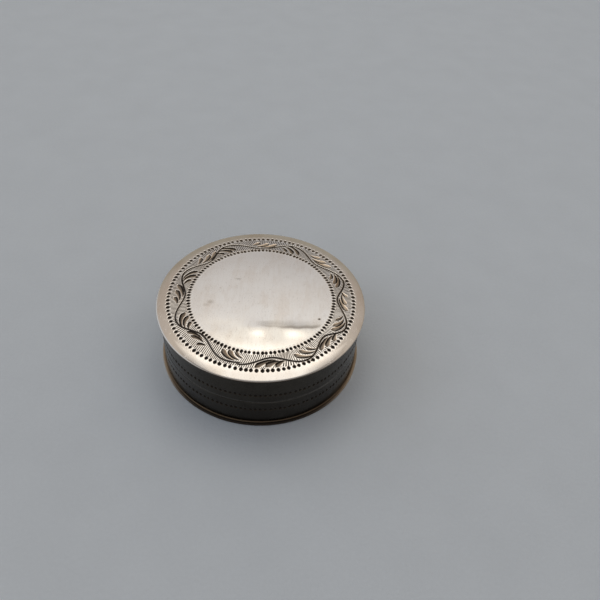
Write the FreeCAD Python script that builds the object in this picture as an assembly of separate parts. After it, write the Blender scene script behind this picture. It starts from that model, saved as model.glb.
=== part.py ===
"""Round silver pill box with a pull-off lid.

The box is built up from sheet: a domed lid plate on a lid wall, and a base wall with a lining
sleeve on a flat base plate, each pair joined by fillets of silver solder. Both plates stand out
past the walls. The lid slips over the sleeve and rests on the mouth of the base wall.

Millimetres. +Z is up, along the box's axis. The origin is the centre of the resting face.
"""

import FreeCAD
import Part

import math
import os

# End plates
plate_radius = 16.0
lid_plate_thickness = 0.45
base_plate_thickness = 0.45
overhang = 0.5  # how far each plate stands out past the wall under it

# Crown of the lid plate: a shallow dome whose border rolls down to the edge
crown_radius = 380.0
border_width = 2.0
border_radius = 9.5

# Walls
base_height = 5.2  # resting face to the mouth, where the lid sits
lid_wall_height = 5.06  # mouth to the underside of the lid plate, at the wall's outer face
base_wall_thickness = 0.5
mouth_chamfer = 0.07  # breaks the outer edges that meet at the seam
lid_lead_in = 0.12  # chamfer inside the lid's mouth

# Lining sleeve
sleeve_thickness = 0.4
sleeve_stand = 3.0  # how far it stands up past the mouth
sleeve_lead_in = 0.22  # chamfer round its top, outside
sleeve_inner_chamfer = 0.08
slip_clearance = 0.045  # radial, between the lid wall and the sleeve

# Solder fillets: the leg of each
inside_fillet = 0.35
outside_fillet = 0.16

# What follows from them
wall_radius = plate_radius - overhang
sleeve_radius = wall_radius - base_wall_thickness
sleeve_bore = sleeve_radius - sleeve_thickness
lid_bore = sleeve_radius + slip_clearance
sleeve_top = base_height + sleeve_stand
lid_seat = base_height + lid_wall_height
clear_above = lid_seat + crown_radius - math.sqrt(crown_radius**2 - plate_radius**2) + 5.0

AXIS = FreeCAD.Vector(0, 0, 1)
ORIGIN = FreeCAD.Vector(0, 0, 0)


def at(r, z):
    """A point of a half section, at radius r and height z."""
    return FreeCAD.Vector(r, 0, z)


def line(a, b):
    return Part.LineSegment(a, b).toShape()


def arc(a, middle, b):
    return Part.Arc(a, middle, b).toShape()


def polyline(points):
    """The edges that join these points in order, open at the end. Repeated points are passed over."""
    return [line(a, b) for a, b in zip(points, points[1:]) if a != b]


def turned(edges):
    """The solid that a closed half section sweeps in a full turn about the axis."""
    face = Part.Face(Part.Wire(edges))
    solid = face.revolve(ORIGIN, AXIS, 360)
    if solid.Volume < 0:
        solid.reverse()
    return solid


def mouth_ring(inner, outer, low, high, inner_cut, outer_cut, cut_high):
    """A ring whose two corners at one end, the high end or the low end, are chamfered."""
    end, away = (high, -1) if cut_high else (low, 1)
    far = low if cut_high else high
    corners = [
        at(inner, far),
        at(inner, end + away * inner_cut),
        at(inner + inner_cut, end),
        at(outer - outer_cut, end),
        at(outer, end + away * outer_cut),
        at(outer, far),
        at(inner, far),
    ]
    return turned(polyline(corners))


class Crown:
    """The lid plate's two arcs in half section: the dome, and the border tangent to it."""

    def __init__(self):
        self.break_angle = math.asin((plate_radius - border_width) / crown_radius)
        reach = crown_radius - border_radius
        self.border_r = reach * math.sin(self.break_angle)
        edge_r = plate_radius - lid_plate_thickness / 2 - self.border_r
        self.edge_angle = math.asin(edge_r / (border_radius - lid_plate_thickness / 2))
        # The underside meets the wall's outer face at lid_seat, which fixes the height.
        under = border_radius - lid_plate_thickness
        drop = math.sqrt(under**2 - (wall_radius - self.border_r) ** 2)
        self.border_z = lid_seat - drop
        self.dome_z = self.border_z - reach * math.cos(self.break_angle)

    def dome_point(self, angle, depth):
        """On the dome at an angle from the axis, depth below the outer surface."""
        radius = crown_radius - depth
        return at(radius * math.sin(angle), self.dome_z + radius * math.cos(angle))

    def border_point(self, angle, depth):
        """On the border at an angle from the axis, depth below the outer surface."""
        radius = border_radius - depth
        r = self.border_r + radius * math.sin(angle)
        return at(r, self.border_z + radius * math.cos(angle))

    def surface(self, depth):
        """Edges from the axis to the edge of the plate, depth below the outer surface."""
        half_break = self.break_angle / 2
        half_border = (self.break_angle + self.edge_angle) / 2
        turn = self.dome_point(self.break_angle, depth)
        dome = arc(self.dome_point(0, depth), self.dome_point(half_break, depth), turn)
        edge = self.border_point(self.edge_angle, depth)
        border = arc(turn, self.border_point(half_border, depth), edge)
        return [dome, border], edge

    def under_height(self, r):
        """Height of the underside at radius r."""
        depth = lid_plate_thickness
        if r <= (crown_radius - depth) * math.sin(self.break_angle):
            return self.dome_z + math.sqrt((crown_radius - depth) ** 2 - r**2)
        under = border_radius - depth
        return self.border_z + math.sqrt(under**2 - (r - self.border_r) ** 2)


crown = Crown()


def space_over_lid_walls():
    """Everything above the lid plate's underside, which trims what is soldered to it."""
    edges, edge = crown.surface(lid_plate_thickness)
    apex = crown.dome_point(0, lid_plate_thickness)
    corners = [edge, at(edge.x, clear_above), at(0, clear_above), apex]
    return turned(edges + polyline(corners))


def lid_plate():
    """Domed disc with a rolled-down border and a full round edge."""
    outer, outer_edge = crown.surface(0)
    under, under_edge = crown.surface(lid_plate_thickness)
    middle = crown.border_point(crown.edge_angle, lid_plate_thickness / 2)
    nose_angle = crown.edge_angle
    half = lid_plate_thickness / 2
    nose = middle + FreeCAD.Vector(half * math.cos(nose_angle), 0, -half * math.sin(nose_angle))
    rounding = arc(outer_edge, nose, under_edge)
    closing = line(crown.dome_point(0, lid_plate_thickness), crown.dome_point(0, 0))
    return turned(outer + [rounding] + under[::-1] + [closing])


def lid_wall():
    """Band that slips over the sleeve, with a small lead-in at its mouth."""
    tall = mouth_ring(
        lid_bore, wall_radius, base_height, clear_above, lid_lead_in, mouth_chamfer, False
    )
    return tall.cut(space_over_lid_walls())


def lid_fillet(r, leg, outward):
    """Straight-faced solder under the lid plate, in the corner by the wall face at radius r."""
    far = r + (leg if outward else -leg)
    low = min(crown.under_height(r), crown.under_height(far))
    foot = at(r, low - leg)
    corners = [foot, at(far, low), at(far, clear_above), at(r, clear_above), foot]
    return turned(polyline(corners)).cut(space_over_lid_walls())


def base_fillet(r, leg, outward):
    """Straight-faced solder on the base plate, in the corner by the face at radius r."""
    far = r + (leg if outward else -leg)
    floor = base_plate_thickness
    corner = at(r, floor)
    return turned(polyline([corner, at(far, floor), at(r, floor + leg), corner]))


def base_plate():
    """Flat disc with a full round edge."""
    half = base_plate_thickness / 2
    flat = plate_radius - half
    top = at(flat, base_plate_thickness)
    edges = [
        line(at(0, 0), at(flat, 0)),
        arc(at(flat, 0), at(plate_radius, half), top),
        line(top, at(0, base_plate_thickness)),
        line(at(0, base_plate_thickness), at(0, 0)),
    ]
    return turned(edges)


def base_wall():
    """Outer band of the base, from the plate to the mouth."""
    low = base_plate_thickness
    return mouth_ring(sleeve_radius, wall_radius, low, base_height, 0, mouth_chamfer, True)


def inner_sleeve():
    """Lining soldered inside the base wall; the lid slips over the part that stands up."""
    low = base_plate_thickness
    return mouth_ring(
        sleeve_bore, sleeve_radius, low, sleeve_top, sleeve_inner_chamfer, sleeve_lead_in, True
    )


pieces = {
    "lid_plate": lid_plate,
    "lid_wall": lid_wall,
    "lid_inner_solder": lambda: lid_fillet(lid_bore, inside_fillet, False),
    "lid_outer_solder": lambda: lid_fillet(wall_radius, outside_fillet, True),
    "base_wall": base_wall,
    "base_plate": base_plate,
    "inner_sleeve": inner_sleeve,
    "sleeve_solder": lambda: base_fillet(sleeve_bore, inside_fillet, False),
    "base_outer_solder": lambda: base_fillet(wall_radius, outside_fillet, True),
}

os.makedirs("parts", exist_ok=True)
for name, make in pieces.items():
    shape = make()
    if not shape.isValid() or shape.Volume <= 0 or len(shape.Solids) != 1:
        raise ValueError(name + " is not one closed solid")
    shape.exportStep("parts/" + name + ".step")
    box = shape.optimalBoundingBox()
    print(f"{name:18s} {shape.Volume:9.3f} mm3   z {box.ZMin:7.3f} to {box.ZMax:7.3f}")
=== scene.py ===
"""Looks of a round silver pill box: engraved lid, punched walls, lining sleeve, floor and lights.

The lid and the walls are turned meshes whose punch marks, engraved lines and leaf cuts are pressed
into the surface itself. Angles run from the front, -Y, and counter-clockwise seen from above.
"""

import math

import bpy
import numpy as np
from bpy.props import FloatProperty, FloatVectorProperty, IntProperty, PointerProperty
from bpy.types import Operator, Panel, PropertyGroup
from mathutils import Matrix, Vector


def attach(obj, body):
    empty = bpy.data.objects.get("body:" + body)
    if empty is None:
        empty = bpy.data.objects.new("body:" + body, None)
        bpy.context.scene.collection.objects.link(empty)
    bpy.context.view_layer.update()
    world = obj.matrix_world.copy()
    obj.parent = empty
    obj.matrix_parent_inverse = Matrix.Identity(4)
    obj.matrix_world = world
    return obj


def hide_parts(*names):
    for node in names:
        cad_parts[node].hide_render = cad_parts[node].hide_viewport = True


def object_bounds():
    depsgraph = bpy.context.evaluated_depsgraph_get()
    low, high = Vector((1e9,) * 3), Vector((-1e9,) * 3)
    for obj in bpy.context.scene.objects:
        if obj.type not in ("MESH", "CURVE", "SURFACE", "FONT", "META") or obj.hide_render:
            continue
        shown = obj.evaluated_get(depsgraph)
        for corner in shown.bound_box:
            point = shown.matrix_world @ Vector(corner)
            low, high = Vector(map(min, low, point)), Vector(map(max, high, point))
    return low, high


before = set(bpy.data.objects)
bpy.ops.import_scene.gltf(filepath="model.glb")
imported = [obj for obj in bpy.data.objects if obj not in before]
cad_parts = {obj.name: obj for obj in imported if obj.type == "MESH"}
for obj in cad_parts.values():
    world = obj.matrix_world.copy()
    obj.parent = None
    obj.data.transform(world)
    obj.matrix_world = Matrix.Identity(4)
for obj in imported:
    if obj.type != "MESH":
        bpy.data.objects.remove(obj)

cad_low, cad_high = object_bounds()

bl_info = {
    "name": "Engraved silver pill box",
    "version": (1, 0, 0),
    "blender": (4, 5, 0),
    "location": "3D View > Sidebar > Pill box",
    "description": "Builds the engraved lid, the punched walls and the lining of a round pill box",
    "category": "Add Mesh",
}

MM = 0.001
# Besides real tarnish, dirt and wear, these also carry painted shade (the lid's lip, the crease
# behind a dent, the base plate's edge, the outward solder) and a painted highlight (the walls' seam
# edges).
SHADES = ("tarnish", "dirt_and_shade", "worn_and_highlit")  # kept with each point of a turned mesh

MARK_LEAN = 1.6  # shape of a punch mark: 1 is a lozenge and 2 is an ellipse
MARK_WANDER = 0.09  # how far a mark strays, in pitches along its row and half widths over it
MARK_SHARES = (0.9, 1.08)  # smallest and largest mark, as shares of a full one
MARK_RIM, MARK_FLOOR = 1.04, 0.3  # where its side starts and ends, in half widths
BURR_HEIGHT = 0.05  # of the burr round a mark, as a share of the mark's depth
BURR_PLACE, BURR_WIDTH = 1.22, 0.16  # in half widths of the mark
FAR_OFF = -9.0  # nearness of the stem where it is out of reach
STEM_TAPER = 7  # length of the stem's pointed end, in degrees
LEAF_REACH = 3.2  # how far a leaf cut lies along from its turn of the stem, in millimetres
LEAF_SAMPLES = 28  # points along a leaf cut's middle line
LEAF_BEND = 0.24  # how far that line is pulled aside, as a share of the cut's length
LEAF_CREST = 0.45  # where the cut is deepest: 0 is on that line and 1 is at the steep edge
LEAF_STRAY = 0.13  # how far each end of a cut strays from its place, in millimetres
BAND_MARGIN = 0.4 * MM  # how far the finest mesh reaches past the lid's two rings of marks
EDGE_REACH = 0.93  # how far the lid's edge stands out, as a share of a full round one
EDGE_SQUARE = 0.6  # its shape: 1 is full round and less is squarer
GROOVE_DEPTH = 0.02 * MM  # of the joint that closes each band
EDGE_WANDER = 0.012 * MM  # how unevenly the plates' edges are finished
WALL_WANDER = 0.02 * MM  # how unevenly the walls are hammered
SLEEVE_WANDER, FLOOR_WANDER = 0.01 * MM, 0.015 * MM  # the same, inside the box
PANEL_SHARES = (0.7, 0.85, 1.0, 1.15, 1.3)  # sizes of a soft light's nested panels
PANEL_DISTANCE = 0.5  # nearest panel to the top of the lid, in metres
PANEL_STEP = 0.004  # from each panel to the next, in metres
SENSOR_WIDTH = 36.0  # of the camera, in millimetres


def section(node):
    """Smallest and largest radius, lowest and highest height of a turned CAD node, in metres."""
    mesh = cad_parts[node].data
    points = np.empty(len(mesh.vertices) * 3)
    mesh.vertices.foreach_get("co", points)
    points = points.reshape(-1, 3)
    radii = np.hypot(points[:, 0], points[:, 1])
    return radii.min(), radii.max(), points[:, 2].min(), points[:, 2].max()


# ---------------------------------------------------------------- sizes and colours


def length(name, description, millimetres):
    return FloatProperty(
        name=name, description=description, default=millimetres * MM, unit="LENGTH", precision=5
    )


def angle(name, description, degrees):
    return FloatProperty(
        name=name, description=description, default=math.radians(degrees), subtype="ANGLE"
    )


def amount(name, description, value):
    return FloatProperty(name=name, description=description, default=value)


def count(name, description, value):
    return IntProperty(name=name, description=description, default=value, min=3)


def colour(name, description, value):
    return FloatVectorProperty(
        name=name, description=description, default=value, subtype="COLOR", size=3, min=0, max=1
    )


class SheetSizes(PropertyGroup):
    """The sheet that the box is made from."""

    plate: length("Plate", "Thickness of both end plates", 0.45)
    crown: length("Crown radius", "Radius of the lid's shallow dome", 380.0)
    border: length("Border width", "Width of the border that rolls down to the lid's edge", 2.0)
    roll: length("Border radius", "Radius that the border rolls down on", 9.5)
    dent: length("Dent depth", "Depth of the deepest dent in the lid", 0.05)
    chamfer: length("Mouth chamfer", "Break on the two edges that meet at the seam", 0.07)
    lead_in: length("Lid lead-in", "Chamfer inside the lid's mouth", 0.12)
    sleeve_lead_in: length("Sleeve lead-in", "Chamfer outside the top of the sleeve", 0.22)
    joint: length("Butt joint", "Width of the soldered joint that closes each band", 0.12)
    # Partly wear and partly a painted highlight: clean silver where the seam's chamfers catch the
    # light.
    worn_and_highlit: amount("Worn edges", "How brightly the edges at the seam are worn, from 0 to 1", 0.14)


class EngravingSizes(PropertyGroup):
    """The lid's engraved band, between its two rings of punch marks."""

    outer_radius: length("Outer ring", "Radius of the outer ring of marks", 14.2)
    inner_radius: length("Inner ring", "Radius of the inner ring of marks", 11.14)
    outer_marks: count("Outer marks", "Punch marks in the outer ring", 119)
    inner_marks: count("Inner marks", "Punch marks in the inner ring", 117)
    outer_mark: length("Outer mark", "Half width of a mark in the outer ring", 0.285)
    inner_mark: length("Inner mark", "Half width of a mark in the inner ring", 0.25)
    mark_depth: length("Mark depth", "Depth of a punch mark", 0.16)
    stem_width: length("Stem width", "Width of the engraved stem", 0.34)
    stem_depth: length("Stem depth", "Depth of the engraved stem", 0.12)
    leaf_width: length("Leaf width", "Width of a leaf cut at its head", 0.86)
    leaf_depth: length("Leaf depth", "Depth of a leaf cut", 0.14)
    hatch_lines: count("Ground lines", "Fine lines cut round the ground", 288)
    hatch_depth: length("Ground depth", "Depth of the ground's fine lines", 0.013)


class WallSizes(PropertyGroup):
    """The punched rows round the two halves of the wall."""

    marks: count("Marks", "Punch marks round each half", 136)
    mark: length("Mark", "Half width of a mark", 0.28)
    mark_tall: amount("Mark height", "Height of a mark as a share of its width", 1.2)
    mark_depth: length("Mark depth", "Depth of a mark", 0.1)
    lid_row: length("Lid row", "Height of the lid's row above the seam", 1.62)
    base_row: length("Base row", "Depth of the base's row below the seam", 1.69)


class SilverColours(PropertyGroup):
    """The silver, what has settled on it, and the colours that paint shade on the walls, the lid's
    lip, a crease, the base plate's edge and the outward solder.
    """

    clean: colour("Clean", "Silver that is rubbed bright", (0.88, 0.835, 0.785))
    warm: colour("Warm", "Silver under a thin brownish tarnish", (0.72, 0.62, 0.53))
    # Amber and dark also paint shade: through the points' tarnish and dirt_and_shade they darken
    # the lid's lip, the crease behind a dent, the base plate's edge and the outward solder, besides
    # real tarnish and dirt in the cuts.
    amber: colour("Amber", "Tarnish in the corners", (0.46, 0.3, 0.15))
    dark: colour("Dark", "Dirt and sulphide in the deepest cuts", (0.03, 0.024, 0.02))
    # Wall and shade are painted shade: the walls' silver is made near black for the dark reflection
    # of the shaded floor in front of them. Only a little of that darkness is tarnish.
    wall: colour("Wall", "Silver of the walls, which are rubbed less", (0.062, 0.055, 0.045))
    shade: colour("Shade", "Old tarnish on the walls", (0.036, 0.03, 0.024))
    solder: colour("Solder", "Silver solder", (0.66, 0.63, 0.58))


class StudioSettings(PropertyGroup):
    """Floor, lights and camera."""

    floor: colour("Floor", "Colour of the floor", (0.82, 0.87, 0.92))
    back_sky: colour("Back", "Light from straight behind the box", (0.45, 0.445, 0.455))
    bright_sky: colour("Bright", "Light from behind, half way up", (0.86, 0.86, 0.86))
    strip_sky: colour("Strip", "Light from behind, just above that", (1.0, 0.975, 0.91))
    side_sky: colour("Sides", "Light from both sides behind the box", (0.42, 0.36, 0.305))
    low_sky: colour("Low", "Light from just above the floor", (0.345, 0.32, 0.275))
    high_sky: colour("High", "Light from overhead", (0.16, 0.16, 0.17))
    front_sky: colour("Front", "Light from the camera's side", (0.26, 0.26, 0.27))
    left_sky: colour("Left", "Light from the left", (0.6, 0.65, 0.72))
    floor_width: length("Floor width", "Side of the square floor", 2600.0)
    camera_side: length("Camera side", "Camera to the right of the box's axis", 5.9)
    camera_back: length("Camera back", "Camera in front of the box's axis", 65.4)
    camera_height: length("Camera height", "Camera above the floor", 76.0)
    camera_tilt: angle("Camera tilt", "How far the camera looks down", 44.8)
    camera_roll: angle("Camera roll", "Turn of the camera about its own axis", 4.48)
    lens: amount("Lens", "Focal length in millimetres on a 36 mm sensor", 36.0)
    sky_light: amount("Sky", "Strength of the light from all round", 1.0)
    window_light: amount("Window", "Power of the wide soft light over the box, in watts", 0.21)
    pane_light: amount("Pane", "Power of the small soft light below it, in watts", 0.04)


# ---------------------------------------------------------------- turned meshes


def spread(columns):
    """The angle of each column round a full turn."""
    return np.arange(columns) * (2 * math.pi / columns)


def ring(angles, radius, height, tarnish=0.0, dirt_and_shade=0.0, worn_and_highlit=0.0):
    """A ring of points about the Z axis, with each point's tarnish, dirt_and_shade and
    worn_and_highlit, which hold painted shade and highlight as well as real tarnish, dirt and wear.
    """
    shape = np.shape(angles)
    parts = (radius * np.sin(angles), -radius * np.cos(angles), height, tarnish, dirt_and_shade, worn_and_highlit)
    return np.stack([np.broadcast_to(part, shape) for part in parts], axis=-1)


def pole(height):
    """A ring of one point, on the axis."""
    return ring(np.zeros(1), 0.0, height)


def bridge(first, second, n, m):
    """Faces between a ring of n points and a ring of m, where one is a multiple of the other."""
    coarse = min(n, m)
    a, b = n // coarse, m // coarse
    faces = []
    for j in range(coarse):
        left = [first + j * a + i for i in range(a)] + [first + (j + 1) * a % n]
        right = [second + j * b + i for i in range(b)] + [second + (j + 1) * b % m]
        if a == b:
            faces.append((left[0], right[0], right[1], left[1]))
            continue
        for i in range(a if n > m else 0):
            faces.append((left[i], right[0] if 2 * i < a else right[1], left[i + 1]))
        for i in range(b if m > n else 0):
            faces.append((left[0] if 2 * i < b else left[1], right[i], right[i + 1]))
        if n > m and m > 1:
            faces.append((left[(a + 1) // 2], right[0], right[1]))
        if m > n and n > 1:
            faces.append((left[0], right[(b + 1) // 2], left[1]))
    return faces


def placed(name, data):
    """A new object in the scene."""
    made = bpy.data.objects.new(name, data)
    bpy.context.scene.collection.objects.link(made)
    return made


def turned_piece(name, rings, material, closed=False, crease=24):
    """A mesh through these rings. The first joins the last if the section is closed."""
    starts = np.cumsum([0] + [len(points) for points in rings])
    order = list(range(len(rings)))
    faces = []
    for i, j in zip(order, order[1:] + (order[:1] if closed else [])):
        faces += bridge(int(starts[i]), int(starts[j]), len(rings[i]), len(rings[j]))
    points = np.concatenate(rings)
    mesh = bpy.data.meshes.new(name)
    mesh.from_pydata(points[:, :3].tolist(), [], faces)
    for column, layer in enumerate(SHADES, start=3):
        shade = mesh.attributes.new(layer, "FLOAT", "POINT")
        shade.data.foreach_set("value", points[:, column].astype(np.float32))
    mesh.shade_smooth()
    mesh.set_sharp_from_angle(angle=math.radians(crease))
    mesh.materials.append(material)
    return placed(name, mesh)


def settle(piece, body, slot, *nodes):
    """Seats a finished piece: the body it rides on and the CAD nodes it stands for. slot, its
    finish, is not used.
    """
    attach(piece, body)
    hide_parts(*nodes)


def smooth(low, high, value):
    """0 below low, 1 above high, and a smooth step between."""
    t = np.clip((value - low) / (high - low), 0, 1)
    return t * t * (3 - 2 * t)


def way_round(angles, place):
    """The shorter way round to these angles from a place, from -pi to pi."""
    return (angles - place + math.pi) % (2 * math.pi) - math.pi


def waves(angles, seed, periods):
    """A gentle seeded undulation round the box, from -1 to 1."""
    random = np.random.default_rng(seed)
    total = sum(np.sin(p * angles + random.uniform(0, 2 * math.pi)) for p in periods)
    return total / len(periods)


# ---------------------------------------------------------------- cuts


def punched(angles, across, radius, number, size, depth, seed, row=0.0, tall=1.0, strays=()):
    """Depth of a row of punch marks, which are round or lean to a lozenge.

    across is the distance over the row and row is where the marks stand on it. Each mark is tall
    times as high as wide. Each stray is an extra mark: its angle in degrees and its share of a
    full mark's size.
    """
    random = np.random.default_rng(seed)
    pitch = 2 * math.pi / number
    places = (np.arange(number) + random.uniform(-MARK_WANDER, MARK_WANDER, number)) * pitch
    shares = random.uniform(*MARK_SHARES, number)
    drift = random.uniform(-MARK_WANDER, MARK_WANDER, number) * size
    cut = np.zeros(np.shape(angles))
    nearest = np.floor(angles / pitch).astype(int)
    near = [(nearest + step) % number for step in (-1, 0, 1, 2)]
    marks = [(places[mark], drift[mark], shares[mark]) for mark in near]
    marks += [(math.radians(place), 0.0, share) for place, share in strays]
    for place, shift, share in marks:
        over = np.abs(way_round(angles, place) * radius) / (size * share)
        up = np.abs(across - row - shift) / (size * share * tall)
        distance = (over**MARK_LEAN + up**MARK_LEAN) ** (1 / MARK_LEAN)
        bowl = smooth(MARK_RIM, MARK_FLOOR, distance)
        burr = BURR_HEIGHT * np.exp(-(((distance - BURR_PLACE) / BURR_WIDTH) ** 2))
        cut = np.where(bowl > 0, np.maximum(cut, depth * share * bowl), cut)
        cut = np.where((bowl <= 0) & (cut <= 0), np.minimum(cut, -depth * burr), cut)
    return cut


# The stem's turns round the lid, as degrees from the front and millimetres from the axis. Its end
# passes its own beginning.
STEM_TURNS = (
    (-9, 13.45), (12, 12.02), (33, 13.82), (54, 12.06), (68.5, 13.88), (94, 11.7), (113, 13.6),
    (138, 11.78), (161, 13.45), (184.5, 11.6), (212, 13.5), (231, 11.66), (252, 13.42),
    (273.5, 11.7), (297.5, 13.48), (318.5, 11.5), (343.5, 13.34), (355, 13.16),
)

# Leaf cuts in millimetres from the turn they hang on: the head's place along and out from it, the
# tail's place, and the cut's share of a full leaf's width.
LEAVES_UNDER_CREST = (
    (-1.2, -1.55, 1.35, -0.36, 1.0),
    (-0.2, -1.76, 1.85, -0.7, 1.0),
    (1.05, -1.78, 2.35, -1.02, 0.85),
)
LEAVES_OVER_TROUGH = (
    (-2.0, 1.42, 0.6, 0.42, 1.0),
    (-0.85, 1.4, 1.25, 0.74, 1.05),
    (0.6, 1.62, 1.95, 1.08, 0.9),
)
LEAVES_IN_FRONT = (
    (-2.02, 1.52, 0.7, 0.6, 1.25),
    (-0.8, 1.48, 1.3, 0.7, 1.35),
    (0.62, 1.55, 1.85, 0.92, 1.2),
)


# Share of full depth over the columns of the mesh that each fine line of the ground takes.
GROUND_STROKE = (1.0, 1.0, 0.75, 0.0, 0.0)


def stem_radius(place):
    """The stem's distance from the axis, in millimetres: half waves from turn to turn."""
    turns = np.array(STEM_TURNS)
    step = np.clip(np.searchsorted(turns[:, 0], place, side="right") - 1, 0, len(turns) - 2)
    share = np.clip((place - turns[step, 0]) / (turns[step + 1, 0] - turns[step, 0]), 0, 1)
    rise = turns[step + 1, 1] - turns[step, 1]
    return turns[step, 1] + rise * (1 - np.cos(math.pi * share)) / 2


def stem_nearness(degrees, out_mm, half_width):
    """1 on the stem's line, 0 at its edges and less beyond. It starts blunt and ends in a point."""
    start, end = STEM_TURNS[0][0], STEM_TURNS[-1][0]
    first = (degrees - start) % 360 + start
    step = 0.25
    nearness = np.full(degrees.shape, FAR_OFF)
    for place in (first, first + 360):
        rise = (stem_radius(place + step) - stem_radius(place - step)) / math.radians(2 * step)
        gap = np.abs(out_mm - stem_radius(place)) * np.cos(np.arctan(rise / out_mm))
        swell = 0.88 + 0.12 * np.sin(np.radians(place * 7.3))
        width = half_width * swell * np.clip((end - place) / STEM_TAPER, 0.02, 1)
        here = np.where(place <= end, 1 - gap / width, FAR_OFF)
        nearness = np.maximum(nearness, here)
    return nearness


def leaf_cut(along, out, head, tail, bulge, width):
    """One comma-shaped cut: its depth, tarnish and dirt, from 0 to 1, and the way to its edge.

    It is fat and round at the head and runs out to nothing at the tail. Its deep side, which bulge
    points to, is steep, and the other side is one long facet.
    """
    samples = np.linspace(0, 1, LEAF_SAMPLES)[:, None]
    head, tail = np.array(head), np.array(tail)
    chord = tail - head
    normal = np.array([-chord[1], chord[0]]) * bulge
    middle = (head + tail) / 2 + normal * LEAF_BEND
    line = (1 - samples) ** 2 * head + 2 * samples * (1 - samples) * middle + samples**2 * tail
    course = np.gradient(line, axis=0)
    course /= np.linalg.norm(course, axis=1)[:, None]
    offset = np.stack([along, out], axis=-1)[:, None, :] - line
    nearest = np.argmin((offset**2).sum(-1), axis=1)
    rows = np.arange(len(along))
    offset, course = offset[rows, nearest], course[nearest]
    side = (course[:, 0] * offset[:, 1] - course[:, 1] * offset[:, 0]) * bulge
    back = np.abs((course * offset).sum(1))
    t = samples[nearest, 0]
    half = width / 2 * np.sqrt(np.clip(t / 0.16 + 0.2, 0, 1)) * (1 - t) ** 0.62
    half = np.maximum(half, 1e-6)
    s = np.hypot(side, back) * np.sign(side) / half
    shape = np.where(s < LEAF_CREST, (1 + s) / (1 + LEAF_CREST), (1 - s) / (1 - LEAF_CREST))
    depth = np.clip(shape, 0, 1) * (1 - t) ** 0.45
    inside = smooth(0, 0.12, shape)
    bottom = smooth(-0.05, 0.35, s + 0.75 * (t - 0.3))
    dirt_and_shade = inside * np.maximum(bottom, 0.52 * smooth(-0.85, -0.4, s))
    tarnish = inside * (0.55 + 0.45 * smooth(-0.4, -0.85, s))
    return depth, tarnish, dirt_and_shade, np.hypot(side, back) - half


def leaves(degrees, out_mm, full_width):
    """Every leaf cut of the lid: depth, tarnish, dirt and nearness of any leaf, all from 0 to 1."""
    random = np.random.default_rng(11)
    found = np.zeros((4,) + degrees.shape)
    mean_radius = 12.65
    for number, (place, radius) in enumerate(STEM_TURNS[1:-1]):
        trough = number % 2 == 0
        bulge = -1 if trough else 1
        along = np.radians((degrees - place + 180) % 360 - 180) * mean_radius
        close = np.abs(along) < LEAF_REACH
        group = LEAVES_OVER_TROUGH if trough else LEAVES_UNDER_CREST
        group = group if number else LEAVES_IN_FRONT
        for along_head, out_head, along_tail, out_tail, share in group:
            stray = random.uniform(-LEAF_STRAY, LEAF_STRAY, 4)
            width = full_width * share * random.uniform(0.85, 1.1)
            head = (along_head + stray[0], radius + out_head + stray[1])
            tail = (along_tail + stray[2], radius + out_tail + stray[3])
            *cut, edge = leaf_cut(along[close], out_mm[close], head, tail, bulge, width)
            cut.append(1 - smooth(0.02, 0.12, edge))
            here = found[:, close]
            deeper = cut[0] > here[0]
            here[:3] = np.where(deeper, cut[:3], here[:3])
            here[3] = np.maximum(here[3], cut[3])
            found[:, close] = here
    return found


def lid_engraving(angles, radii, columns, sizes):
    """Depth of every cut of the lid, in metres, and its tarnish and its dirt, from 0 to 1."""
    degrees = np.degrees(angles)
    out_mm = np.full(len(angles), radii / MM)
    outer = punched(
        angles, radii, sizes.outer_radius, sizes.outer_marks, sizes.outer_mark, sizes.mark_depth,
        seed=3, row=sizes.outer_radius, tall=1.2, strays=((35.1, 0.45), (341.3, 0.92)),
    )
    inner = punched(
        angles, radii, sizes.inner_radius, sizes.inner_marks, sizes.inner_mark, sizes.mark_depth,
        seed=4, row=sizes.inner_radius, tall=1.3,
    )
    marks = np.where(np.abs(outer) > np.abs(inner), outer, inner)

    nearness = stem_nearness(degrees, out_mm, sizes.stem_width / 2 / MM)
    stem = sizes.stem_depth * np.clip(nearness, 0, 1)

    leaf, leaf_tarnish, leaf_dirt, near = leaves(degrees, out_mm, sizes.leaf_width / MM)
    random = np.random.default_rng(7)
    per_line = columns // sizes.hatch_lines
    line = np.arange(columns) // per_line
    heights = random.uniform(0.8, 1.1, sizes.hatch_lines)[line]
    low = sizes.inner_radius + random.uniform(0.12, 0.3, sizes.hatch_lines)[line] * MM
    high = sizes.outer_radius - random.uniform(0.16, 0.34, sizes.hatch_lines)[line] * MM
    open_ground = (1 - near) * smooth(0.1, -0.3, nearness)
    inside = smooth(low, low + 0.15 * MM, radii) * (1 - smooth(high - 0.15 * MM, high, radii))
    ground = inside * open_ground
    stroke = np.array(GROUND_STROKE)[np.arange(columns) % per_line]
    stroke = stroke ** (2 - np.cos(angles)) * heights
    hatch = sizes.hatch_depth * stroke * ground

    depth = np.maximum.reduce([stem, sizes.leaf_depth * leaf, hatch])
    depth = np.where(marks > 0, np.maximum(depth, marks), depth + marks)
    # The marks are filled darker towards the front than towards the back.
    in_mark = smooth(0.0, 0.25, marks / sizes.mark_depth) * (0.87 + 0.13 * np.cos(angles))
    in_stem = smooth(0.05, 0.42, stem / sizes.stem_depth)
    tarnish = np.maximum.reduce([in_mark, in_stem, leaf_tarnish, ground * (0.02 + 0.1 * stroke)])
    dirt_and_shade = np.maximum.reduce([0.93 * in_mark, 0.95 * in_stem, leaf_dirt, 0.9 * ground * stroke])
    return depth, tarnish, dirt_and_shade


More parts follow.
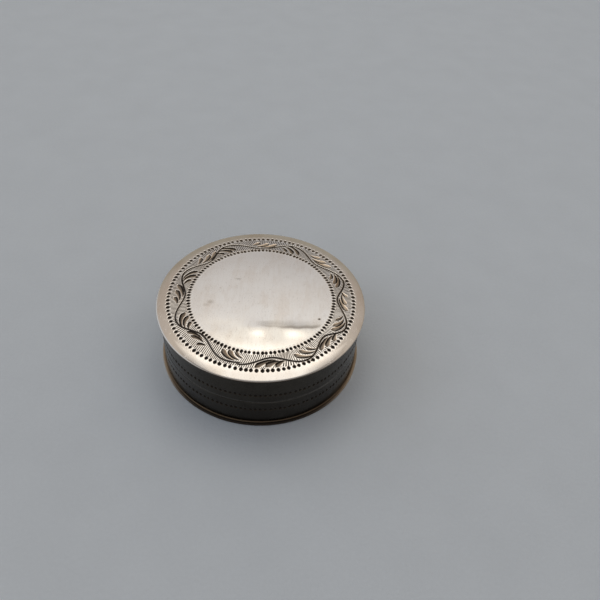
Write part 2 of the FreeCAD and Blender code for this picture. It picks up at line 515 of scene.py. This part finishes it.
# Dents in the lid: millimetres to the right and to the back, half widths and share of full depth.
# A share below 0 stands up.
LID_DENTS = (
    (0.1, -6.5, 1.5, 1.25, -0.8),
    (5.4, -6.05, 1.9, 1.3, -0.95),
    (2.8, -6.6, 1.1, 1.3, 0.3),
    (-5.6, -6.4, 3.0, 1.6, 0.25),
    (-3.0, 2.5, 4.5, 3.5, 0.4),
    (4.0, 4.0, 3.5, 4.5, -0.35),
)


def spots(x, y, places):
    """The sum of soft round spots at these places."""
    total = np.zeros(np.broadcast(x, y).shape)
    for right, back, half_x, half_y, share in places:
        total += share * np.exp(-(((x - right) / half_x) ** 2) - ((y - back) / half_y) ** 2)
    return total


def dents(angles, radii, sizes):
    """How far the lid is pressed in by years of handling, in metres."""
    x, y = radii * np.sin(angles) / MM, -radii * np.cos(angles) / MM
    return sizes.dent * spots(x, y, LID_DENTS)


# Stains on the plain part, in the same way as the dents. A share above 1 makes a small dark speck.
LID_STAINS = (
    (-7.6, -1.9, 0.55, 0.4, 0.45),
    (-8.1, -2.6, 0.5, 0.25, 0.3),
    (-4.0, 3.6, 0.5, 0.16, 0.6),
    (-1.8, -3.4, 0.3, 0.2, 0.4),
    (9.0, -3.7, 0.14, 0.14, 4.0),
)


def crease_shade_and_stains(angles, radii):
    """Painted shade along the crease behind the longest dent, for the dark reflection there, and
    tarnish in a few small spots, from 0 to 3.
    """
    x, y = radii * np.sin(angles) / MM, -radii * np.cos(angles) / MM
    # How far behind the crease a point is. The crease wavers, and bends back toward its right end.
    above = y + 5.95 - 0.025 * np.maximum(x - 3.6, 0) ** 2 - 0.06 * np.sin(2.9 * x)
    reach = smooth(-0.8, 1.6, x) * smooth(10.2, 8.2, x)
    # core is the crease's dark line and veil the grey behind it. Both are painted shade.
    core = np.exp(-((above / np.where(above > 0, 0.5, 0.25)) ** 2))
    core *= 0.6 + 0.4 * smooth(2.4, 5.4, x)
    veil = (0.5 - 0.2 * smooth(2.4, 6.0, x)) * np.exp(-(((above - 0.5) / 0.75) ** 2))
    return np.clip(reach * np.maximum(core, veil) + spots(x, y, LID_STAINS), 0, 3)


# ---------------------------------------------------------------- materials


class Value:
    """A shader socket that takes part in ordinary arithmetic."""

    def __init__(self, shader, socket):
        self.shader = shader
        self.socket = socket

    def _math(self, operation, a, b):
        return self.shader.node("ShaderNodeMath", {"operation": operation}, {0: a, 1: b})

    def __add__(self, other):
        return self._math("ADD", self, other)

    def __radd__(self, other):
        return self._math("ADD", other, self)

    def __sub__(self, other):
        return self._math("SUBTRACT", self, other)

    def __rsub__(self, other):
        return self._math("SUBTRACT", other, self)

    def __mul__(self, other):
        return self._math("MULTIPLY", self, other)

    def __rmul__(self, other):
        return self._math("MULTIPLY", other, self)


class Shader:
    """Adds nodes to one node tree."""

    def __init__(self, tree):
        self.tree = tree
        tree.nodes.clear()

    def node(self, kind, settings=None, inputs=None, output=0):
        """A new node's output. Settings go first, and then each socket's value or link."""
        made = self.tree.nodes.new(kind)
        for name, value in (settings or {}).items():
            setattr(made, name, value)
        for key, value in (inputs or {}).items():
            if isinstance(value, Value):
                self.tree.links.new(value.socket, made.inputs[key])
            else:
                made.inputs[key].default_value = value
        return Value(self, made.outputs[output]) if made.outputs else None

    def mix(self, factor, a, b):
        """A colour between a and b."""
        settings = {"data_type": "RGBA", "clamp_factor": True}
        a, b = (tuple(c) + (1.0,) if not isinstance(c, Value) else c for c in (a, b))
        return self.node("ShaderNodeMix", settings, {0: factor, 6: a, 7: b}, 2)

    def step(self, value, low, high):
        """0 below low, 1 above high, and a smooth step between."""
        settings = {"interpolation_type": "SMOOTHSTEP"}
        return self.node("ShaderNodeMapRange", settings, {0: value, 1: low, 2: high})

    def place(self):
        """The point being shaded, in metres."""
        return self.node("ShaderNodeTexCoord", output=3)

    def stretched(self, turn, scale):
        """The same, turned about Z and scaled by three factors."""
        inputs = {"Vector": self.place(), "Rotation": (0, 0, turn), "Scale": scale}
        return self.node("ShaderNodeMapping", {"vector_type": "POINT"}, inputs)

    def noise(self, size, detail=3.0, vector=None):
        """Noise from 0 to 1 with features of this size in metres."""
        inputs = {"Vector": vector or self.place(), "Scale": 1 / size, "Detail": detail}
        return self.node("ShaderNodeTexNoise", inputs=inputs)

    def bump(self, height, distance, strength):
        """A normal that follows a height from 0 to 1, which stands for this distance in metres."""
        inputs = {"Strength": strength, "Distance": distance, "Height": height}
        return self.node("ShaderNodeBump", inputs=inputs)

    def surface(self, **sockets):
        """A Principled shader with these sockets, joined to the output."""
        named = {name.replace("_", " ").title(): value for name, value in sockets.items()}
        shaded = self.node("ShaderNodeBsdfPrincipled", inputs=named)
        self.node("ShaderNodeOutputMaterial", inputs={"Surface": shaded})


def scratches(shader, turn, width, reach):
    """Fine straight scratches in one direction, from 0 to 1: narrow, long and broken up."""
    vector = shader.stretched(turn, (1.0, width / reach, 1.0))
    lines = shader.step(shader.noise(width, 2.0, vector), 0.6, 0.74)
    patches = shader.step(shader.noise(reach * 0.7, 1.0), 0.45, 0.6)
    return lines * patches


def silver(name, clean, warm, roughness, stain, wear):
    """Handled silver: patches of tarnish, cuts filled with it, smears, specks and hairlines. Its
    points' tarnish and dirt_and_shade also paint shade, and their worn_and_highlit paints a
    highlight.

    stain is how far the warm tarnish covers it and wear is how scratched it is, from 0 to 1.
    """
    colours = bpy.context.scene.pill_box_silver
    material = bpy.data.materials.new(name + "_finish")
    material.use_nodes = True
    shader = Shader(material.node_tree)
    tarnish, dirt_and_shade, worn_and_highlit = (
        shader.node("ShaderNodeAttribute", {"attribute_name": layer}, output=2) for layer in SHADES
    )
    cloud = shader.step(shader.noise(4.5 * MM, 4.0), 0.38, 0.68)
    smear = shader.noise(1.3 * MM, 5.0, shader.stretched(0.5, (1.0, 0.45, 1.0)))
    specks = shader.step(shader.noise(0.2 * MM, 1.0), 0.7, 0.76)
    streaks = shader.noise(0.14 * MM, 2.0, shader.stretched(0.0, (1.0, 0.03, 1.0)))
    hairlines = scratches(shader, 0.15, width=0.05 * MM, reach=2.4 * MM)
    hairlines = hairlines + scratches(shader, 1.25, width=0.04 * MM, reach=1.6 * MM)
    metal = shader.mix(stain * (0.25 + 0.75 * cloud), clean, warm)
    metal = shader.mix(0.35 * shader.step(smear, 0.45, 0.75), metal, warm)
    metal = shader.mix(0.12 * shader.step(streaks, 0.35, 0.7), metal, warm)
    # Painted shade and highlight come in here together with the real tarnish, dirt and wear: amber
    # and dark through tarnish and dirt_and_shade, clean through worn_and_highlit.
    metal = shader.mix(tarnish * 0.9, metal, colours.amber)
    metal = shader.mix(shader.step(dirt_and_shade, 0.05, 0.9), metal, colours.dark)
    metal = shader.mix(worn_and_highlit, metal, colours.clean)
    metal = shader.mix(specks * 0.3, metal, colours.dark)
    rough = roughness + 0.04 * cloud + 0.09 * smear * wear + 0.03 * streaks
    rough = rough + 0.15 * tarnish + 0.2 * dirt_and_shade + 0.05 * hairlines
    height = 0.35 * smear - hairlines * wear
    shader.surface(
        base_color=metal,
        metallic=1.0,
        roughness=rough,
        normal=shader.bump(height, 0.012 * MM, 0.5),
    )
    return material


# ---------------------------------------------------------------- the lid


class Crown:
    """Half section of the lid plate, in metres: a shallow dome and a border that rolls down."""

    def __init__(self, sizes):
        _, self.rim, _, self.top = section("lid_plate")
        self.sheet = sizes.plate
        self.dome = sizes.crown
        self.roll = sizes.roll
        self.turn = math.asin((self.rim - sizes.border) / self.dome)
        self.roll_r = (self.dome - self.roll) * math.sin(self.turn)
        self.roll_z = self.top - self.dome + (self.dome - self.roll) * math.cos(self.turn)
        reach = self.rim - self.sheet / 2 - self.roll_r
        self.lip = math.asin(reach / (self.roll - self.sheet / 2))

    def height(self, radius, depth=0.0):
        """Height of the surface that lies depth below the outer one."""
        dome, roll = self.dome - depth, self.roll - depth
        on_roll = np.sqrt(np.maximum(roll**2 - (radius - self.roll_r) ** 2, 0))
        on_dome = self.top - self.dome + np.sqrt(dome**2 - np.asarray(radius) ** 2)
        return np.where(radius > dome * math.sin(self.turn), self.roll_z + on_roll, on_dome)

    def edge(self, turn):
        """Radius and height on the plate's edge; turn runs from 0 on top to pi below.

        The edge is rounded, with a tighter corner at its top and at its foot than between them.
        """
        middle = self.roll - self.sheet / 2
        out = EDGE_REACH * self.sheet / 2 * max(math.sin(turn), 0.0) ** EDGE_SQUARE
        up = self.sheet / 2 * math.copysign(abs(math.cos(turn)) ** EDGE_SQUARE, math.cos(turn))
        sine, cosine = math.sin(self.lip), math.cos(self.lip)
        radius = self.roll_r + (middle + up) * sine + out * cosine
        return radius, self.roll_z + (middle + up) * cosine - out * sine


def ground_lean(angles):
    """How far the ground's lines lean from the radius, as a tangent, changing round the band."""
    return 0.5 * waves(angles, 21, (2, 3, 5)) + 0.2 * waves(angles, 22, (9, 13))


def leaned(angles, radii, sizes):
    """Angles of the columns at a radius, once they lean as the ground's lines do."""
    middle = (sizes.inner_radius + sizes.outer_radius) / 2
    half = (sizes.outer_radius - sizes.inner_radius) / 2
    reach = np.clip(radii - middle, -half, half)
    return angles + ground_lean(angles) * reach / middle


def lid_plate_rings():
    """Rings of the lid plate, from the middle of its top round the edge to the middle below."""
    scene = bpy.context.scene
    sheet, engraving = scene.pill_box_sheet, scene.pill_box_engraving
    crown = Crown(sheet)
    fine = len(GROUND_STROKE) * engraving.hatch_lines
    band_low = engraving.inner_radius - BAND_MARGIN
    band_high = engraving.outer_radius + BAND_MARGIN

    def top_ring(columns, radius, cut=0.0, *shades):
        angles = leaned(spread(columns), radius, engraving)
        height = crown.height(radius) - dents(angles, radius, sheet) - cut
        return ring(angles, radius, height, *shades)

    rings = [pole(crown.top - dents(np.zeros(1), 0.0, sheet)[0])]
    rings += [top_ring(fine // 16, radius) for radius in np.linspace(0.3, 4.9, 11) * MM]
    for radius in np.linspace(5.2, band_low / MM - 0.25, 34) * MM:
        # Painted shade: a dark line and a grey veil along the crease behind the longest dent, for
        # its dark reflection, with a few real stains.
        stain = crease_shade_and_stains(leaned(spread(fine // 4), radius, engraving), radius)
        rings.append(top_ring(fine // 4, radius, 0.0, 0.2 * stain, 0.5 * np.sqrt(stain)))
    rings += [top_ring(fine // 2, band_low - 0.1 * MM)]
    for radius in np.linspace(band_low, band_high, 54):
        angles = leaned(spread(fine), radius, engraving) % (2 * math.pi)
        rings.append(top_ring(fine, radius, *lid_engraving(angles, radius, fine, engraving)))
    rings += [top_ring(fine // 2, band_high + 0.1 * MM)]
    for radius in np.linspace(band_high + 0.22 * MM, crown.edge(0)[0], 7):
        warmth = waves(leaned(spread(fine // 4), radius, engraving), 33, (3, 7, 12, 19))
        rings.append(top_ring(fine // 4, radius, 0.0, 0.22 * np.maximum(warmth, 0)))

    angles = leaned(spread(fine // 4), crown.rim, engraving)
    wander = EDGE_WANDER * (waves(angles, 31, (3, 7, 11, 17)) - 1)
    for turn in np.linspace(0, math.pi, 9)[1:]:
        radius, height = crown.edge(turn)
        # Painted shade: the lower half of the edge, and the lip at the front, are darkened so that
        # they don't mirror the pale floor and the light from the near side.
        front_lip_shade = smooth(0.6, 0.97, np.cos(angles))
        tarnish = 0.85 * np.maximum(smooth(0.5, 1.4, turn), front_lip_shade * smooth(0.3, 0.8, turn))
        dirt_and_shade = 0.8 * np.maximum(smooth(0.8, 1.8, turn), front_lip_shade * smooth(0.4, 1.0, turn))
        rings.append(ring(angles, radius + wander * math.sin(turn), height, tarnish, dirt_and_shade))
    coarse = leaned(spread(fine // 8), crown.rim, engraving)
    inner_corner = section("lid_wall")[0]
    for radius in np.linspace(crown.edge(math.pi)[0], inner_corner, 5)[1:]:
        rings.append(ring(coarse, radius, crown.height(radius, crown.sheet), 0.6, 0.3))
    rest = leaned(spread(fine // 16), crown.rim, engraving)
    for radius in np.linspace(inner_corner, 0, 9)[1:-1]:
        below = crown.height(radius, crown.sheet) - dents(rest, radius, sheet)
        rings.append(ring(rest, radius, below, 0.1))
    rings.append(pole(crown.top - crown.sheet - dents(np.zeros(1), 0.0, sheet)[0]))
    return rings


class PILLBOX_OT_lid_plate(Operator):
    """Build the domed lid plate with its engraved band"""

    bl_idname = "pill_box.lid_plate"
    bl_label = "Lid plate"

    def execute(self, context):
        colours = context.scene.pill_box_silver
        material = silver("lid_silver", colours.clean, colours.warm, 0.04, stain=0.24, wear=0.4)
        piece = turned_piece("lid_plate_engraved", lid_plate_rings(), material, crease=70)
        settle(piece, "lid", "lid_silver", "lid_plate")
        return {"FINISHED"}


# ---------------------------------------------------------------- walls


def butt_joint(angles, place, width):
    """The soldered joint that closes a bent band: 1 along its line and 0 away from it."""
    return smooth(width, 0, np.abs(way_round(angles, place)))


def band_rings(inner, outer, low, high, inner_high, row, seed, cuts):
    """Rings of a wall: down its punched outside, under it and up its inside to inner_high.

    cuts are the chamfers at the outer top, the outer bottom and the inner bottom.
    """
    scene = bpy.context.scene
    sheet, wall = scene.pill_box_sheet, scene.pill_box_wall
    fine = 12 * wall.marks
    coarse = 3 * wall.marks
    reach = 1.5 * wall.mark
    joint = sheet.joint / outer

    def outside(columns, height, worn_and_highlit=0.0):
        angles = spread(columns)
        cut = punched(
            angles, height, outer, wall.marks, wall.mark, wall.mark_depth, seed, row, wall.mark_tall
        )
        groove = butt_joint(angles, math.pi, joint)
        swell = WALL_WANDER * (waves(angles, seed + 50, (2, 5, 9)) - 1)
        dirt_and_shade = smooth(0.0, 0.3, cut / wall.mark_depth)
        radius = np.minimum(outer + swell - cut - GROOVE_DEPTH * groove, outer)
        tarnish = 0.3 * np.maximum(dirt_and_shade, groove)
        return ring(angles, radius, height, tarnish, dirt_and_shade, rubbed(angles, worn_and_highlit))

    def plain(radius, height, worn_and_highlit=0.0):
        angles = spread(coarse)
        return ring(angles, radius, height, worn_and_highlit=rubbed(angles, worn_and_highlit))

    # Partly wear and partly a painted highlight: clean silver on the seam's chamfers where the
    # light catches them. It varies round the box and is weaker at the front.
    def rubbed(angles, worn_and_highlit):
        return worn_and_highlit * (0.65 + 0.6 * waves(angles, seed + 60, (2, 5, 9)) - 0.3 * np.cos(angles))

    outer_top, outer_bottom, inner_bottom = cuts
    edge_bright_top, edge_bright_bottom = (sheet.worn_and_highlit if cut else 0.0 for cut in (outer_top, outer_bottom))
    rings = [plain(outer - max(outer_top, GROOVE_DEPTH), high, edge_bright_top)]
    above = np.linspace(high - outer_top, row + reach + 0.3 * MM, 5)
    below = np.linspace(row - reach - 0.3 * MM, low + outer_bottom, 5)
    rings += [outside(coarse, above[0], edge_bright_top)]
    rings += [outside(coarse, height) for height in above[1:]]
    rings += [outside(2 * coarse, row + reach + 0.12 * MM)]
    rings += [outside(fine, height) for height in np.linspace(row + reach, row - reach, 11)]
    rings += [outside(2 * coarse, row - reach - 0.12 * MM)]
    rings += [outside(coarse, height) for height in below[:-1]]
    rings += [outside(coarse, below[-1], edge_bright_bottom)]
    rings += [plain(outer - max(outer_bottom, GROOVE_DEPTH), low, edge_bright_bottom)]
    rings += [plain(inner + inner_bottom, low)]
    if inner_bottom:
        rings.append(plain(inner, low + inner_bottom))
    return rings + [plain(inner, inner_high)]


class PILLBOX_OT_lid_wall(Operator):
    """Build the lid's wall with its row of punch marks"""

    bl_idname = "pill_box.lid_wall"
    bl_label = "Lid wall"

    def execute(self, context):
        scene = context.scene
        sheet, wall = scene.pill_box_sheet, scene.pill_box_wall
        inner, outer, low, _ = section("lid_wall")
        high, inner_high = (float(Crown(sheet).height(r, sheet.plate)) for r in (outer, inner))
        cuts = (0.0, sheet.chamfer, sheet.lead_in)
        rings = band_rings(inner, outer, low, high, inner_high, low + wall.lid_row, 5, cuts)
        colours = scene.pill_box_silver
        # Painted shade: the walls take the near-black wall and shade colours.
        material = silver("wall_silver", colours.wall, colours.shade, 0.2, stain=0.6, wear=0.8)
        piece = turned_piece("lid_wall_punched", rings, material, closed=True, crease=40)
        settle(piece, "lid", "wall_silver", "lid_wall")
        return {"FINISHED"}


class PILLBOX_OT_base_wall(Operator):
    """Build the base's wall with its row of punch marks"""

    bl_idname = "pill_box.base_wall"
    bl_label = "Base wall"

    def execute(self, context):
        scene = context.scene
        sheet, wall = scene.pill_box_sheet, scene.pill_box_wall
        inner, outer, low, high = section("base_wall")
        cuts = (sheet.chamfer, 0.0, 0.0)
        rings = band_rings(inner, outer, low, high, high, high - wall.base_row, 6, cuts)
        # The same painted-shade silver as the lid's wall.
        material = bpy.data.materials["wall_silver_finish"]
        piece = turned_piece("base_wall_punched", rings, material, closed=True, crease=40)
        settle(piece, "base", "wall_silver", "base_wall")
        return {"FINISHED"}


# ---------------------------------------------------------------- base and lining


class PILLBOX_OT_base_plate(Operator):
    """Build the flat base plate with its round edge"""

    bl_idname = "pill_box.base_plate"
    bl_label = "Base plate"

    def execute(self, context):
        _, rim, low, high = section("base_plate")
        half = (high - low) / 2
        angles = spread(360)
        middle = spread(90)
        wander = EDGE_WANDER * (waves(angles, 41, (2, 5, 8, 13)) - 1)
        # Painted shade and highlight on the base plate's rim and edge: dark all round and darkest
        # at the front, with a lighter outer edge towards the sides.
        front = smooth(0.35, 0.95, np.cos(angles))
        dirt_and_shade = 0.42 + 0.4 * front

        def floor_of(radius):
            uneven = FLOOR_WANDER * (waves(middle, 43, (2, 3)) - 1)
            return uneven * smooth(0, 6 * MM, 12 * MM - radius)

        rings = [pole(high)]
        for radius in np.linspace(1.0, 14.0, 12) * MM:
            rings.append(ring(middle, radius, high + floor_of(radius), 0.05))
        rings += [ring(angles, radius, high, 0.8, dirt_and_shade) for radius in (14.6 * MM, 15.6 * MM)]
        for turn in np.linspace(0, math.pi, 9):
            radius = rim - half + half * math.sin(turn) + wander * math.sin(turn)
            rubbed = (1 - 0.8 * front) * smooth(0.3, 0.9, turn)
            height = low + half + half * math.cos(turn)
            rings.append(ring(angles, radius, height, 0.8 - 0.3 * rubbed, dirt_and_shade - 0.2 * rubbed))
        for radius in np.linspace(15.0, 1.0, 10) * MM:
            rings.append(ring(middle, radius, low - floor_of(radius), 0.08))
        rings.append(pole(low))
        colours = context.scene.pill_box_silver
        material = silver("base_silver", colours.clean, colours.warm, 0.2, stain=0.5, wear=1.0)
        piece = turned_piece("base_plate_turned", rings, material)
        settle(piece, "base", "base_silver", "base_plate")
        return {"FINISHED"}


class PILLBOX_OT_inner_sleeve(Operator):
    """Build the lining sleeve that the lid slips over"""

    bl_idname = "pill_box.inner_sleeve"
    bl_label = "Lining sleeve"

    def execute(self, context):
        sheet = context.scene.pill_box_sheet
        inner, outer, low, high = section("inner_sleeve")
        angles = spread(480)
        groove = butt_joint(angles, math.radians(150), sheet.joint / outer)
        seat = section("lid_wall")[2]
        lead = sheet.sleeve_lead_in
        hollow = SLEEVE_WANDER * (waves(angles, 61, (3, 4, 7)) - 1)

        def skin(radius, height, dark, outward):
            return ring(angles, radius + hollow - outward * GROOVE_DEPTH * groove, height, dark)

        rings = [ring(angles, outer - lead, high)]
        rings += [ring(angles, outer - 0.45 * lead, high - lead / 5)]
        rings += [skin(outer, high - lead, 0.05, 1)]
        rings += [skin(outer, height, 0.12, 1) for height in np.linspace(high - 0.5 * MM, seat, 5)]
        rings += [ring(angles, outer, low, 0.3), ring(angles, inner, low, 0.3)]
        bore = inner - hollow + GROOVE_DEPTH * groove
        for height in np.linspace(low + 0.4 * MM, high - 0.3 * MM, 8):
            rings.append(ring(angles, bore, height, 0.15 * groove))
        rings += [ring(angles, inner, high - 0.08 * MM), ring(angles, inner + 0.08 * MM, high)]
        colours = context.scene.pill_box_silver
        material = silver("lining_silver", colours.clean, colours.warm, 0.24, stain=0.45, wear=0.7)
        piece = turned_piece("inner_sleeve_lining", rings, material, closed=True)
        settle(piece, "base", "lining_silver", "inner_sleeve")
        return {"FINISHED"}


def fillet_rings(corner_r, corner_z, outward, up, leg, seed, surface=None):
    """Rings of a hollow solder fillet in a corner, whose legs wander a little as run solder does.

    outward and up are 1 or -1 and say which way its two legs go. surface gives the height of the
    plate that it lies on, where that isn't flat.
    """
    angles = spread(360)
    run = leg * (0.86 + 0.14 * waves(angles, seed, (5, 9, 14, 23)))
    # Painted shade: the outward fillets, at the base and under the lid's overhang, are darkened
    # like the walls. The inward ones are darkened only lightly.
    shades = (0.9, 0.55) if outward > 0 else (0.35, 0.05)
    rings = [ring(angles, corner_r, corner_z, *shades)]
    for turn in np.linspace(0, math.pi / 2, 6):
        away = run * (1 - math.sin(turn))
        along = run * (1 - math.cos(turn))
        radius = corner_r + outward * away
        base = corner_z if surface is None else surface(radius)
        rings.append(ring(angles, radius, base + up * along, *shades))
    return rings[::-1] if outward == up else rings


class PILLBOX_OT_solder(Operator):
    """Build the four solder fillets that hold the sheet together"""

    bl_idname = "pill_box.solder"
    bl_label = "Solder"

    def execute(self, context):
        scene = context.scene
        crown = Crown(scene.pill_box_sheet)
        colours = scene.pill_box_silver
        material = silver("solder", colours.solder, colours.warm, 0.3, stain=0.5, wear=0.3)

        def under_lid(radius):
            return crown.height(radius, crown.sheet)

        floor_z = section("base_plate")[3]
        jobs = (
            ("lid_inner_solder", "lid", section("lid_wall")[0], -1, -1),
            ("lid_outer_solder", "lid", section("lid_wall")[1], 1, -1),
            ("sleeve_solder", "base", section("inner_sleeve")[0], -1, 1),
            ("base_outer_solder", "base", section("base_wall")[1], 1, 1),
        )
        for seed, (node, body, radius, outward, up) in enumerate(jobs):
            low_r, high_r = section(node)[:2]
            surface = under_lid if body == "lid" else None
            corner_z = float(under_lid(radius)) if surface else floor_z
            rings = fillet_rings(radius, corner_z, outward, up, high_r - low_r, 70 + seed, surface)
            piece = turned_piece(node + "_run", rings, material, closed=True)
            settle(piece, body, "solder", node)
        return {"FINISHED"}


# ---------------------------------------------------------------- floor, lights and camera


def floor_material(pale):
    """Matt pale floor with a faint nap."""
    material = bpy.data.materials.new("floor_matt")
    material.use_nodes = True
    shader = Shader(material.node_tree)
    mottle = shader.noise(9 * MM, 5.0)
    nap = shader.noise(0.5 * MM, 3.0)
    deeper = tuple(0.86 * c for c in pale)
    shader.surface(
        base_color=shader.mix(0.6 * mottle + 0.3 * nap, pale, deeper),
        roughness=0.9 + 0.05 * nap,
        normal=shader.bump(nap, 0.12 * MM, 0.5),
    )
    return material


def sky(studio):
    """A plain studio all round: pale behind the box, and dimmer low down and on the near side."""
    world = bpy.data.worlds.new("studio")
    bpy.context.scene.world = world
    world.use_nodes = True
    shader = Shader(world.node_tree)
    direction = shader.node("ShaderNodeTexCoord", output=0)
    parts = shader.node("ShaderNodeSeparateXYZ", inputs={0: direction})
    right, back, up = (Value(shader, socket) for socket in parts.socket.node.outputs)
    aside = shader.node("ShaderNodeMath", {"operation": "ABSOLUTE"}, {0: right + 0.05})
    shade = shader.mix(shader.step(up, 0.55, 0.8), studio.back_sky, studio.bright_sky)
    shade = shader.mix(shader.step(up, 0.75, 0.76), shade, studio.strip_sky)
    shade = shader.mix(0.78 * shader.step(aside, 0.12, 0.3), shade, studio.side_sky)
    shade = shader.mix(shader.step(up, 0.6, 0.4), shade, studio.low_sky)
    shade = shader.mix(shader.step(up, 0.8, 0.93), shade, studio.high_sky)
    shade = shader.mix(shader.step(back, 0.2, -0.3), shade, studio.front_sky)
    left = shader.step(right, -0.5, -0.75) * shader.step(up, 0.1, 0.2)
    shade = shader.mix(left, shade, studio.left_sky)
    inputs = {"Color": shade, "Strength": studio.sky_light}
    light = shader.node("ShaderNodeBackground", inputs=inputs)
    shader.node("ShaderNodeOutputWorld", inputs={"Surface": light})


def soft_light(name, place, size, power, tint):
    """Nested panels that face the box, so that their light falls off softly toward its edges.

    place is in degrees up from the floor, and round from the back to the right. size is the mean
    panel's width and height in metres.
    """
    lift, turn = (math.radians(degrees) for degrees in place)
    level = math.cos(lift)
    toward = Vector((math.sin(turn) * level, math.cos(turn) * level, math.sin(lift)))
    for number, share in enumerate(PANEL_SHARES):
        data = bpy.data.lights.new(f"{name}_{number}", "AREA")
        data.shape = "RECTANGLE"
        data.size, data.size_y = size[0] * share, size[1] * share
        data.energy = power * share**2 / sum(s**2 for s in PANEL_SHARES)
        data.color = tint
        lamp = placed(data.name, data)
        distance = PANEL_DISTANCE + PANEL_STEP * number
        lamp.location = Vector((0, 0, cad_high.z)) + toward * distance
        lamp.rotation_mode = "QUATERNION"
        lamp.rotation_quaternion = toward.to_track_quat("Z", "Y")


class PILLBOX_OT_studio(Operator):
    """Set the floor, the soft lights and the camera"""

    bl_idname = "pill_box.studio"
    bl_label = "Studio"

    def execute(self, context):
        scene = context.scene
        studio = scene.pill_box_studio
        half = studio.floor_width / 2
        mesh = bpy.data.meshes.new("floor")
        corners = [(-half, -half, 0), (half, -half, 0), (half, half, 0), (-half, half, 0)]
        mesh.from_pydata(corners, [], [(0, 1, 2, 3)])
        mesh.materials.append(floor_material(studio.floor))
        floor = placed("floor", mesh)

        sky(studio)
        cream = (1.0, 0.965, 0.89)
        soft_light("window", (72.5, -4.5), (0.32, 0.205), studio.window_light, cream)
        soft_light("pane", (57.5, -4.0), (0.23, 0.07), studio.pane_light, cream)
        scene.view_settings.view_transform = "Standard"

        data = bpy.data.cameras.new("camera")
        data.sensor_width = SENSOR_WIDTH
        data.lens = studio.lens
        data.clip_start = 1 * MM
        camera = placed("camera", data)
        place = (studio.camera_side, -studio.camera_back, studio.camera_height)
        tilt = Matrix.Rotation(math.pi / 2 - studio.camera_tilt, 4, "X")
        roll = Matrix.Rotation(studio.camera_roll, 4, "Z")
        camera.matrix_world = Matrix.Translation(place) @ tilt @ roll
        scene.camera = camera
        return {"FINISHED"}


class PILLBOX_PT_panel(Panel):
    """Lists the steps that build the box"""

    bl_idname = "PILLBOX_PT_panel"
    bl_label = "Pill box"
    bl_space_type = "VIEW_3D"
    bl_region_type = "UI"
    bl_category = "Pill box"

    def draw(self, context):
        for step in STEPS:
            self.layout.operator(step.bl_idname)
        for group in SETTINGS:
            settings = getattr(context.scene, group)
            for name in settings.bl_rna.properties.keys():
                if name not in ("rna_type", "name"):
                    self.layout.prop(settings, name)


SETTINGS = {
    "pill_box_sheet": SheetSizes,
    "pill_box_engraving": EngravingSizes,
    "pill_box_wall": WallSizes,
    "pill_box_silver": SilverColours,
    "pill_box_studio": StudioSettings,
}
STEPS = (
    PILLBOX_OT_lid_plate,
    PILLBOX_OT_lid_wall,
    PILLBOX_OT_base_wall,
    PILLBOX_OT_base_plate,
    PILLBOX_OT_inner_sleeve,
    PILLBOX_OT_solder,
    PILLBOX_OT_studio,
)
CLASSES = (*SETTINGS.values(), *STEPS, PILLBOX_PT_panel)


def register():
    for made in CLASSES:
        bpy.utils.register_class(made)
    for name, group in SETTINGS.items():
        setattr(bpy.types.Scene, name, PointerProperty(type=group))


def unregister():
    for name in SETTINGS:
        delattr(bpy.types.Scene, name)
    for made in reversed(CLASSES):
        bpy.utils.unregister_class(made)


def main():
    register()
    bpy.ops.pill_box.lid_plate()
    bpy.ops.pill_box.lid_wall()
    bpy.ops.pill_box.base_wall()
    bpy.ops.pill_box.base_plate()
    bpy.ops.pill_box.inner_sleeve()
    bpy.ops.pill_box.solder()
    bpy.ops.pill_box.studio()


if __name__ == "__main__":
    main()
